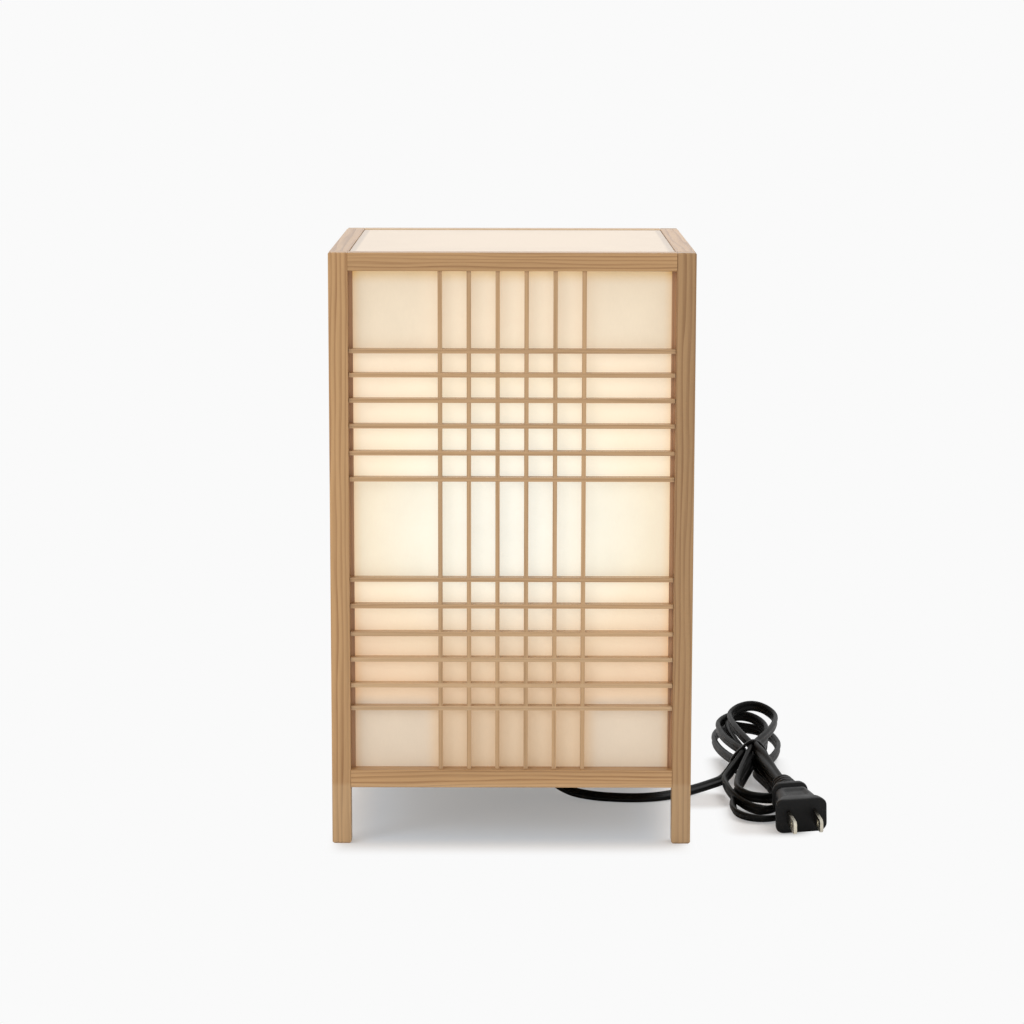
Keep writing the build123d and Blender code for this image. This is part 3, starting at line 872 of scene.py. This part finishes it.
@dataclass
class FlatCord:
    """Flat twin cord from the base to the plug, with its tied hank.

    Sizes are in millimetres, and angles in degrees. The hank is wound in one direction, and its turns are
    pinched together by the tie. Passes hold the sideways place and the height of each way through it, in
    order. The cord comes rolled a little, stands on its edge in the hank where its height has room for that,
    and lies flat again towards the plug.
    """

    finish: bpy.types.Material
    width: float = 5.5
    thickness: float = 2.8
    groove: float = 0.4
    tie: tuple[float, float] = (124.3, 37.0)
    heading: float = -2.1
    passes: tuple[tuple[float, float], ...] = (
        (-8.6, 9.8),
        (0.2, 4.8),
        (0.1, 9.0),
        (3.4, 12.8),
        (-4.2, 15.0),
        (0.2, 12.2),
        (-0.2, 17.7),
        (0.2, 18.5),
    )
    lead: tuple[Place, ...] = (
        (14.1, 0.0, 15.2),
        (21.0, -0.4, 8.2),
        (30.5, -2.0, 3.7),
        (42.0, -3.8, 2.1),
        (52.5, -6.4, 2.1),
        (63.0, -7.3, 2.1),
        (74.0, -4.8, 2.1),
        (85.0, 2.6, 2.1),
        (95.0, 12.6, 2.1),
        (102.7, 21.9, 2.1),
        (109.4, 30.0, 2.3),
    )
    tail: tuple[Place, ...] = (
        (127.4, 24.0, 17.6),
        (129.0, 12.0, 16.8),
        (131.6, -3.5, 14.8),
        (134.2, -19.8, 13.2),
    )
    back: tuple[Turn, ...] = (
        Turn(90.0, 18.4, 16.0, (4.4, 6.2, 7.5), 1.8),
        Turn(76.0, 11.0, 9.2, (8.2, 9.5, 13.4)),
        Turn(76.0, 16.2, 9.4, (12.9, 16.5, 13.8), 1.2),
        Turn(67.6, 10.2, 14.0, (20.0, 24.0, 20.4), 1.0),
    )
    front: tuple[Turn, ...] = (
        Turn(84.0, 12.4, 14.6, (1.5, 2.1, 2.6), 1.25),
        Turn(70.5, 15.6, 18.5, (1.5, 2.6, 6.4), 2.4, 1.2),
        Turn(61.5, 10.0, 12.0, (4.6, 6.7, 8.4), 1.1),
    )
    leg_points: int = 4
    leg_bulge: float = 0.95
    leg_drop: float = 2.4
    arc_points: int = 7
    rolled: float = 32.0
    rolled_over: float = 20.0
    on_edge: float = 84.0
    turned_over: float = 26.0
    held_past: float = 3.0
    untwisted_over: float = 42.0
    core_points: int = 9
    core_wrap: float = 125.0

    def _lobe(self, turn: Turn, way: int, right_end: tuple, left_end: tuple) -> list[Vector]:
        """Points of one turn, from its right end at the tie round to its left end.

        Args:
            turn: The turn's sizes.
            way: 1 for a turn behind the tie, -1 for one in front.
            right_end: Sideways place and height at the tie where its right leg ends.
            left_end: The same for its left leg.

        Returns:
            Points in the hank's own axes.
        """
        middle, half = (turn.right - turn.left) / 2, (turn.right + turn.left) / 2
        tip = half * turn.long_tip
        straight = turn.length - tip
        right_height, tip_height, left_height = turn.heights

        def leg(end: tuple, side: float, height: float) -> list[Vector]:
            """A leg from the tie outwards, steepest near the tie.

            Args:
                end: Sideways place and height at the tie.
                side: Sideways place at the tip.
                height: Height at the tip.

            Returns:
                Its points.
            """
            made = []
            for n in range(1, self.leg_points + 1):
                share = n / (self.leg_points + 1)
                spread = math.sin(share * math.pi / 2) ** self.leg_bulge
                across = end[0] * (1 - share) ** 2 + side * spread
                drop = (1 - share) ** self.leg_drop
                made.append(Vector((across, straight * share, height + (end[1] - height) * drop)))
            return made

        points = leg(right_end, turn.right, right_height)
        for n in range(self.arc_points):
            angle = math.pi * n / (self.arc_points - 1)
            side_height = right_height if angle < math.pi / 2 else left_height
            height = side_height + (tip_height - side_height) * math.sin(angle) ** 2
            sideways = math.copysign(abs(math.cos(angle)) ** turn.pointed, math.cos(angle))
            points.append(Vector((middle + half * sideways, straight + tip * math.sin(angle), height)))
        points += reversed(leg(left_end, -turn.left, left_height))
        for point in points:
            point.y *= way
        return points

    def route(self) -> tuple[list[Vector], int, int]:
        """Control points of the whole cord.

        Returns:
            The points in metres, and the first and last index that belong to the hank.
        """
        crossings = [Vector((across, 0, height)) for across, height in self.passes]
        local = [crossings[0]]
        for n, turn in enumerate(self.back):
            left, right = self.passes[2 * n], self.passes[2 * n + 1]
            local += reversed(self._lobe(turn, 1, right, left))
            local.append(crossings[2 * n + 1])
            if n < len(self.front):
                next_left = self.passes[2 * n + 2]
                local += self._lobe(self.front[n], -1, right, next_left)
                local.append(crossings[2 * n + 2])
        hank = [self.hank_place() @ point for point in local]
        points = [Vector(p) for p in self.lead] + hank + [Vector(p) for p in self.tail]
        return [p * MM for p in points], len(self.lead), len(self.lead) + len(hank) - 1

    def hank_place(self) -> Matrix:
        """Place and heading of the hank on the floor, in millimetres."""
        return Matrix.Translation((*self.tie, 0)) @ Matrix.Rotation(math.radians(self.heading), 4, "Z")

    def _path(self, points: list[Vector]) -> list[Vector]:
        """The smooth line through a route.

        Args:
            points: Its control points.

        Returns:
            Points along the line.
        """
        curve = bpy.data.curves.new("cord_route", "CURVE")
        curve.dimensions = "3D"
        curve.resolution_u = 10
        spline = curve.splines.new("NURBS")
        spline.points.add(len(points) - 1)
        for control, point in zip(spline.points, points):
            control.co = (*point, 1)
        spline.order_u = 3
        spline.use_endpoint_u = True
        route = placed("cord_route", curve)
        graph = bpy.context.evaluated_depsgraph_get()
        line = bpy.data.meshes.new_from_object(route.evaluated_get(graph))
        path = [vertex.co.copy() for vertex in line.vertices]
        bpy.data.objects.remove(route)
        return path

    def _section(self) -> list[tuple[float, float]]:
        """Outline of the twin cord: two round cores side by side, joined by a web.

        Returns:
            Places across and through the cord, in metres.
        """
        radius = self.thickness / 2
        centre = self.width / 2 - radius
        outline = []
        for side in (1, -1):
            for n in range(self.core_points):
                angle = math.radians(self.core_wrap * (2 * n / (self.core_points - 1) - 1))
                across = side * (centre + radius * math.cos(angle))
                through = side * radius * math.sin(angle)
                outline.append((across * MM, through * MM))
            outline.append((0.0, side * (radius - self.groove) * MM))
        return outline

    def _rings(self, path: list[Vector], run: list[float], entry: float, leave: float) -> list[list[Vector]]:
        """Sections along the cord, each turned as the cord lies there.

        Args:
            path: Points along the cord, in metres.
            run: Length up to each of them.
            entry: Length up to the hank's start.
            leave: Length up to its end.

        Returns:
            A ring of points for each point of the path.
        """
        section = self._section()
        rings = []
        for n, point in enumerate(path):
            ahead = (path[min(n + 1, len(path) - 1)] - path[max(n - 1, 0)]).normalized()
            flat = ahead.cross(Vector((0, 0, 1))).normalized()
            into = (run[n] - entry) / self.turned_over + 1
            out = 1 - (run[n] - leave - self.held_past) / self.untwisted_over
            share = min(max(min(into, out), 0), 1)
            angle = math.radians(self.on_edge) * share * share * (3 - 2 * share)
            if run[n] < leave:
                angle = max(angle, math.radians(self.rolled) * min(run[n] / self.rolled_over, 1))
            room = (point.z / MM - self.thickness / 2) / ((self.width - self.thickness) / 2)
            angle = min(angle, math.asin(min(max(room, 0), 1)))
            wide = Matrix.Rotation(angle, 3, ahead) @ flat
            thick = ahead.cross(wide)
            rings.append([point + wide * a + thick * b for a, b in section])
        return rings

    def build(self) -> bpy.types.Object:
        """Makes the cord.

        Returns:
            Its mesh object.
        """
        points, first, last = self.route()
        path = self._path(points)
        log.info("cord: %d route points, %d path points", len(points), len(path))
        run = [0.0]
        for one, two in zip(path, path[1:]):
            run.append(run[-1] + (two - one).length / MM)
        per_point = len(path) / (len(points) - 1)
        entry, leave = run[int(first * per_point)], run[int(last * per_point)]
        cord = skin("cord", self._rings(path, run, entry, leave), self.finish)
        log.info("cord length %.3f m", run[-1] * MM)
        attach(cord, "frame")
        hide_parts("cord_lead", "cord_hank", "cord_tail")
        tuple(path[0])
        self.width * MM
        return cord


@dataclass
class TwistTie:
    """Ribbon round the hank's waist, in millimetres on the hank's own axes."""

    finish: bpy.types.Material
    width: float = 3.0
    thickness: float = 1.5
    outline: tuple[tuple[float, float], ...] = (
        (-8.4, 4.2),
        (-10.9, 6.5),
        (-10.9, 10.5),
        (-8.8, 13.8),
        (-6.2, 16.5),
        (-3.6, 18.9),
        (-1.2, 20.5),
        (1.2, 20.7),
        (3.4, 19.6),
        (5.8, 16.6),
        (7.6, 12.2),
        (7.4, 8.0),
        (5.8, 6.4),
        (3.0, 7.0),
        (0.4, 8.0),
        (-4.0, 6.6),
    )
    between: int = 5
    around: int = 12
    squareness: float = 0.5

    def _path(self) -> list[Vector]:
        """A smooth closed line through the outline's points.

        Returns:
            Points along it.
        """
        corners = [Vector((across, 0, height)) for across, height in self.outline]
        path = []
        for n in range(len(corners)):
            one, two, three, four = (corners[(n + k) % len(corners)] for k in (-1, 0, 1, 2))
            for k in range(self.between):
                t = k / self.between
                square = (2 * one - 5 * two + 4 * three - four) * t * t
                cube = (3 * two - one - 3 * three + four) * t**3
                path.append((2 * two + (three - one) * t + square + cube) / 2)
        return path

    def build(self, place: Matrix) -> bpy.types.Object:
        """Makes the tie.

        Args:
            place: The hank's place.

        Returns:
            Its mesh object.
        """
        path = self._path()
        rings = []
        for n, point in enumerate(path):
            ahead = (path[(n + 1) % len(path)] - path[n - 1]).normalized()
            out = ahead.cross(Vector((0, 1, 0)))
            ring = []
            for k in range(self.around):
                angle = math.tau * k / self.around
                corner = (math.cos(angle), math.sin(angle))
                flat = [math.copysign(abs(v) ** self.squareness, v) for v in corner]
                along, through = flat[0] * self.width / 2, flat[1] * self.thickness / 2
                ring.append(MM * (place @ (point + Vector((0, along, 0)) + out * through)))
            rings.append(ring)
        tie = skin("twist_tie", rings, self.finish, closed=True)
        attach(tie, "frame")
        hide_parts("cord_tie")
        return tie


class Repeater:
    """A Geometry Nodes tree with named inputs, which is converted to a plain mesh."""

    def __init__(self, name: str, finish: bpy.types.Material) -> None:
        """Starts the tree.

        Args:
            name: The tree's and the piece's name.
            finish: The piece's material.
        """
        self.tree = bpy.data.node_groups.new(name, "GeometryNodeTree")
        self.tree.interface.new_socket("Geometry", in_out="OUTPUT", socket_type="NodeSocketGeometry")
        self.inlet = self.tree.nodes.new("NodeGroupInput")
        self.nodes = Nodes(self.tree)
        self.finish = finish
        self.values: dict[str, float | int] = {}

    def size(self, name: str, value: float | int) -> Field:
        """Adds a named input.

        Args:
            name: What it is called.
            value: A count, or a length in millimetres.

        Returns:
            The input as a field, lengths in metres.
        """
        whole = isinstance(value, int)
        kind = "NodeSocketInt" if whole else "NodeSocketFloat"
        socket = self.tree.interface.new_socket(name, in_out="INPUT", socket_type=kind)
        self.values[socket.identifier] = value if whole else value * MM
        return Field(self.nodes, self.inlet.outputs[name])

    def join(self, *pieces: Field) -> Field:
        """Joins several geometries.

        Args:
            pieces: The geometries.

        Returns:
            All of them as one.
        """
        node = self.tree.nodes.new("GeometryNodeJoinGeometry")
        for piece in pieces:
            self.tree.links.new(piece.socket, node.inputs[0])
        return Field(self.nodes, node.outputs[0])

    def line(self, count: Field | int, start: Field, step: Field) -> Field:
        """Points in a row."""
        inputs = {"Count": count, "Start Location": start, "Offset": step}
        return self.nodes.add("GeometryNodeMeshLine", {}, inputs)

    def moved(self, piece: Field, x: Field | float, y: Field | float, z: Field | float) -> Field:
        """Moves a geometry."""
        inputs = {"Geometry": piece, "Translation": self.nodes.vector(x, y, z)}
        return self.nodes.add("GeometryNodeTransform", {}, inputs)

    def cut(self, piece: Field, other: Field) -> Field:
        """Cuts one mesh away from another."""
        settings = {"operation": "DIFFERENCE", "solver": "EXACT"}
        return self.nodes.add("GeometryNodeMeshBoolean", settings, {"Mesh 1": piece, "Mesh 2": other})

    def convert(self, geometry: Field, place: Matrix) -> bpy.types.Object:
        """Ends the tree and turns its result into a mesh object.

        Args:
            geometry: What the tree gives.
            place: Where the piece goes, in metres.

        Returns:
            The object, with no modifier left.
        """
        real = self.nodes.add("GeometryNodeRealizeInstances", {}, [geometry])
        smooth = self.nodes.add("GeometryNodeSetShadeSmooth", {}, [real])
        done = self.nodes.add("GeometryNodeSetMaterial", {}, {"Geometry": smooth, "Material": self.finish})
        outlet = self.tree.nodes.new("NodeGroupOutput")
        self.tree.links.new(done.socket, outlet.inputs[0])
        blank = placed(self.tree.name, bpy.data.meshes.new("blank"))
        modifier = blank.modifiers.new("shape", "NODES")
        modifier.node_group = self.tree
        for identifier, value in self.values.items():
            modifier[identifier] = value
        graph = bpy.context.evaluated_depsgraph_get()
        mesh = bpy.data.meshes.new_from_object(blank.evaluated_get(graph))
        bpy.data.objects.remove(blank)
        mesh.transform(place)
        mesh.set_sharp_from_angle(angle=CREASE)
        log.info("%s: %d faces", self.tree.name, len(mesh.polygons))
        return placed(self.tree.name, mesh)


@dataclass
class Plug:
    """Two-blade plug: a drafted body with a finger recess, and a ribbed relief, in millimetres and degrees.

    Its own Z runs backwards from the face. A section is its place, width, height and corner radius. The
    recess is its start, end, half width and depth.
    """

    finish: bpy.types.Material
    face: Place = (139.4, -67.8, 9.3)
    turned: Place = (6.3, 4.6, -2.5)
    sections: tuple[tuple[float, float, float, float], ...] = (
        (0.0, 23.6, 15.6, 3.4),
        (0.15, 24.4, 16.4, 3.8),
        (0.7, 25.0, 17.0, 4.0),
        (2.0, 24.6, 16.95, 4.0),
        (4.9, 22.9, 16.65, 4.0),
        (5.6, 22.4, 16.4, 4.0),
        (6.0, 21.4, 16.1, 4.0),
        (6.6, 20.0, 15.9, 3.6),
        (9.0, 19.1, 15.7, 3.6),
        (14.0, 18.0, 15.0, 3.6),
        (19.0, 16.9, 14.2, 3.6),
        (22.8, 16.1, 13.5, 3.6),
        (23.7, 15.2, 12.6, 3.6),
        (24.1, 13.9, 10.8, 3.6),
        (25.5, 13.7, 10.5, 3.6),
        (25.9, 15.6, 13.0, 3.6),
        (26.5, 17.3, 15.0, 4.2),
        (27.9, 17.6, 15.4, 4.6),
        (29.2, 17.2, 15.0, 4.6),
        (29.8, 15.8, 13.4, 4.6),
        (30.0, 13.4, 11.0, 4.6),
    )
    recess: tuple[float, float, float, float] = (8.0, 20.5, 5.6, 0.9)
    recess_ends: float = 2.0
    recess_sides: float = 1.2
    corner_steps: int = 8
    edge_steps: int = 12
    body_crease: float = 50.0
    relief_start: float = 29.8
    relief_length: float = 18.2
    relief_root: float = 12.0
    relief_tip: float = 8.4
    rib_count: int = 4
    rib_width: float = 2.9
    rib_proud: float = 1.35
    rib_first: float = 2.6
    rib_pitch: float = 4.2

    def place(self) -> Matrix:
        """Place of the plug's face.

        Returns:
            Its matrix, in metres.
        """
        turns = [Matrix.Rotation(math.radians(angle), 4, axis) for angle, axis in zip(self.turned, "ZXY")]
        backwards = Matrix.Rotation(math.radians(-90), 4, "X")
        return Matrix.Translation(Vector(self.face) * MM) @ turns[0] @ turns[1] @ turns[2] @ backwards

    def _ring(self, along: float, width: float, height: float, radius: float) -> list[Vector]:
        """One rounded outline of the body, with the finger recess pressed into its top and underside.

        Args:
            along: Distance behind the face.
            width: Its width.
            height: Its height.
            radius: Of its corners.

        Returns:
            Its points in metres.
        """
        points = []
        for corner_x, corner_y, start in ((1, 1, 0), (-1, 1, 90), (-1, -1, 180), (1, -1, 270)):
            for k in range(self.corner_steps + 1):
                angle = math.radians(start + 90 * k / self.corner_steps)
                x = corner_x * (width / 2 - radius) + radius * math.cos(angle)
                y = corner_y * (height / 2 - radius) + radius * math.sin(angle)
                points.append((x, y))
            if corner_x == corner_y:
                edge = corner_x * (width / 2 - radius)
                for k in range(1, self.edge_steps):
                    points.append((edge * (1 - 2 * k / self.edge_steps), corner_y * height / 2))
        low, high, half, depth = self.recess
        share = min(max(min(along - low, high - along) / self.recess_ends, 0), 1)
        ring = []
        for x, y in points:
            inside = min(max((half - abs(x)) / self.recess_sides, 0), 1)
            dip = depth * share * inside * inside * (3 - 2 * inside)
            ring.append(Vector((x, y - math.copysign(dip, y), along)) * MM)
        return ring

    def build(self) -> None:
        """Makes the body and the relief."""
        rings = []
        for one, two in zip(self.sections, self.sections[1:]):
            steps = max(1, round(two[0] - one[0]))
            for k in range(steps):
                rings.append(self._ring(*(a + (b - a) * k / steps for a, b in zip(one, two))))
        rings.append(self._ring(*self.sections[-1]))
        body = skin("plug_moulding", rings, self.finish, place=self.place())
        body.data.set_sharp_from_angle(angle=math.radians(self.body_crease))
        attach(body, "frame")
        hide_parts("plug_body")
        relief = self._relief()
        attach(relief, "frame")
        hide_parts("plug_relief")

    def _relief(self) -> bpy.types.Object:
        """Makes the tapered relief with its row of ribs.

        Returns:
            Its mesh object.
        """
        shape = Repeater("plug_ribbed_relief", self.finish)
        nodes = shape.nodes
        root = shape.size("Root radius", self.relief_root / 2)
        tip = shape.size("Tip radius", self.relief_tip / 2)
        length = shape.size("Length", self.relief_length)
        first = shape.size("First rib", self.rib_first)
        pitch = shape.size("Rib pitch", self.rib_pitch)
        thick = shape.size("Rib width", self.rib_width)
        proud = shape.size("Rib proud", self.rib_proud)
        count = shape.size("Ribs", self.rib_count)
        inputs = {"Vertices": 48, "Radius Top": tip, "Radius Bottom": root, "Depth": length}
        core = nodes.add("GeometryNodeMeshCone", {}, inputs)
        slope = (tip - root) / length
        radius = root + slope * first
        hoop = nodes.add("GeometryNodeCurvePrimitiveCircle", {}, {"Resolution": 48, "Radius": radius})
        profile = nodes.add("GeometryNodeCurvePrimitiveCircle", {}, {"Resolution": 16, "Radius": 1.0})
        size = nodes.vector(proud, thick * 0.5, 1.0)
        profile = nodes.add("GeometryNodeTransform", {}, {"Geometry": profile, "Scale": size})
        rib = nodes.add("GeometryNodeCurveToMesh", {}, {"Curve": hoop, "Profile Curve": profile})
        row = shape.line(count, nodes.vector(0.0, 0.0, first), nodes.vector(0.0, 0.0, pitch))
        index = nodes.add("GeometryNodeInputIndex", {}, [])
        narrower = index * (slope * pitch / radius) + 1.0
        scale = nodes.vector(narrower, narrower, 1.0)
        inputs = {"Points": row, "Instance": rib, "Scale": scale}
        ribs = nodes.add("GeometryNodeInstanceOnPoints", {}, inputs)
        start = Matrix.Translation((0, 0, self.relief_start * MM))
        return shape.convert(shape.join(core, ribs), self.place() @ start)


@dataclass
class Screws:
    """A rectangle of cross-headed screws, in millimetres.

    Columns and rows hold a count and a pitch each, and the head and the shank a diameter and a length. The
    cross holds the length and the width of its slots in head radii. A sunk head's shank starts at the share
    shank_start of the head's height.
    """

    name: str
    node: str
    finish: bpy.types.Material
    columns: tuple[int, float]
    rows: tuple[int, float]
    seat: float
    head: tuple[float, float]
    shank: tuple[float, float]
    domed: bool
    cross: tuple[float, float] = (1.1, 0.24)
    shank_start: float = 0.9

    def _head(self, shape: Repeater, shank_radius: Field) -> Field:
        """Makes one head, domed on its seat or sunk below it, with its cross recess.

        Args:
            shape: The screws' tree.
            shank_radius: Where a sunk head's cone ends.

        Returns:
            The head.
        """
        nodes = shape.nodes
        radius = shape.size("Head radius", self.head[0] / 2)
        height = shape.size("Head height", self.head[1])
        if self.domed:
            ball = nodes.add("GeometryNodeMeshUVSphere", {}, {"Segments": 32, "Rings": 20, "Radius": 1.0})
            size = nodes.vector(radius, radius, height)
            ball = nodes.add("GeometryNodeTransform", {}, {"Geometry": ball, "Scale": size})
            size = nodes.vector(radius * 3, radius * 3, height * 3)
            room = nodes.add("GeometryNodeMeshCube", {}, {"Size": size})
            head = shape.cut(ball, shape.moved(room, 0.0, 0.0, height * -1.5))
            top = height
        else:
            inputs = {"Vertices": 32, "Radius Top": radius, "Radius Bottom": shank_radius, "Depth": height}
            head = shape.moved(nodes.add("GeometryNodeMeshCone", {}, inputs), 0.0, 0.0, height * -1.0)
            top = 0.0
        for long, wide in (self.cross, reversed(self.cross)):
            size = nodes.vector(radius * long, radius * wide, height)
            bar = nodes.add("GeometryNodeMeshCube", {}, {"Size": size})
            head = shape.cut(head, shape.moved(bar, 0.0, 0.0, top))
        return head

    def build(self) -> bpy.types.Object:
        """Makes the screws.

        Returns:
            Their mesh object.
        """
        shape = Repeater(self.name, self.finish)
        nodes = shape.nodes
        radius = shape.size("Shank radius", self.shank[0] / 2)
        length = shape.size("Shank length", self.shank[1])
        sunk = shape.size("Shank below seat", 0.0 if self.domed else self.shank_start * self.head[1])
        inputs = {"Vertices": 24, "Radius": radius, "Depth": length}
        shank = nodes.add("GeometryNodeMeshCylinder", {}, inputs)
        shank = shape.moved(shank, 0.0, 0.0, length * -0.5 - sunk)
        screw = shape.join(self._head(shape, radius), shank)
        for axis, (count, pitch) in (("Column", self.columns), ("Row", self.rows)):
            number = shape.size(f"{axis}s", count)
            step = shape.size(f"{axis} pitch", pitch)
            first = (number - 1) * step * -0.5
            if axis == "Column":
                start, offset = nodes.vector(first, 0.0, 0.0), nodes.vector(step, 0.0, 0.0)
            else:
                start, offset = nodes.vector(0.0, first, 0.0), nodes.vector(0.0, step, 0.0)
            inputs = {"Points": shape.line(number, start, offset), "Instance": screw}
            screw = nodes.add("GeometryNodeInstanceOnPoints", {}, inputs)
        screws = shape.convert(screw, Matrix.Translation((0, 0, self.seat * MM)))
        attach(screws, "frame")
        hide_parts(self.node)
        return screws


@dataclass
class ScrewCap:
    """The bulb's cap with its rolled thread, in millimetres.

    Wire_sunk is the share of the roll's radius that lies inside the core, and first_roll the height of the
    thread's start in roll radii.
    """

    finish: bpy.types.Material
    low: float = 71.9
    height: float = 21.0
    root_radius: float = 12.55
    wire_radius: float = 0.95
    rolls: float = 4.6
    roll_pitch: float = 3.62
    wire_sunk: float = 0.3
    first_roll: float = 1.6

    def build(self) -> bpy.types.Object:
        """Makes the cap.

        Returns:
            Its mesh object.
        """
        shape = Repeater("bulb_thread", self.finish)
        nodes = shape.nodes
        root = shape.size("Root radius", self.root_radius)
        wire = shape.size("Roll radius", self.wire_radius)
        height = shape.size("Height", self.height)
        rise = shape.size("Rise", self.rolls * self.roll_pitch)
        inputs = {"Vertices": 64, "Radius": root, "Depth": height}
        core = shape.moved(nodes.add("GeometryNodeMeshCylinder", {}, inputs), 0.0, 0.0, height * 0.5)
        radius = root - wire * self.wire_sunk
        inputs = {
            "Resolution": 48,
            "Rotations": self.rolls,
            "Start Radius": radius,
            "End Radius": radius,
            "Height": rise,
        }
        spiral = nodes.add("GeometryNodeCurveSpiral", {}, inputs)
        profile = nodes.add("GeometryNodeCurvePrimitiveCircle", {}, {"Resolution": 12, "Radius": wire})
        inputs = {"Curve": spiral, "Profile Curve": profile, "Fill Caps": True}
        thread = nodes.add("GeometryNodeCurveToMesh", {}, inputs)
        thread = shape.moved(thread, 0.0, 0.0, wire * self.first_roll)
        cap = shape.convert(shape.join(core, thread), Matrix.Translation((0, 0, self.low * MM)))
        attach(cap, "bulb")
        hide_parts("bulb_cap")
        return cap


def main() -> None:
    """Builds every sub-assembly in turn."""
    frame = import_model()
    finishes = Finishes()
    finishes.dress(frame["nodes"])
    Studio().build()
    hank = FlatCord(finishes.cord)
    TwistTie(finishes.tie).build(hank.hank_place())
    Plug(finishes.plug).build()
    hank.build()
    Screws(
        "board_screws",
        "base_screws",
        finishes.screw,
        columns=(2, 130.0),
        rows=(2, 147.0),
        seat=35.4,
        head=(5.0, 1.25),
        shank=(2.5, 5.8),
        domed=False,
    ).build()
    Screws(
        "holder_screws",
        "socket_screws",
        finishes.screw,
        columns=(2, 47.0),
        rows=(1, 1.0),
        seat=40.4,
        head=(5.5, 2.0),
        shank=(3.0, 8.4),
        domed=True,
    ).build()
    ScrewCap(finishes.sleeve).build()
    bpy.context.scene.view_settings.view_transform = "Standard"


if __name__ == "__main__":
    logging.basicConfig(level=logging.INFO)
    main()
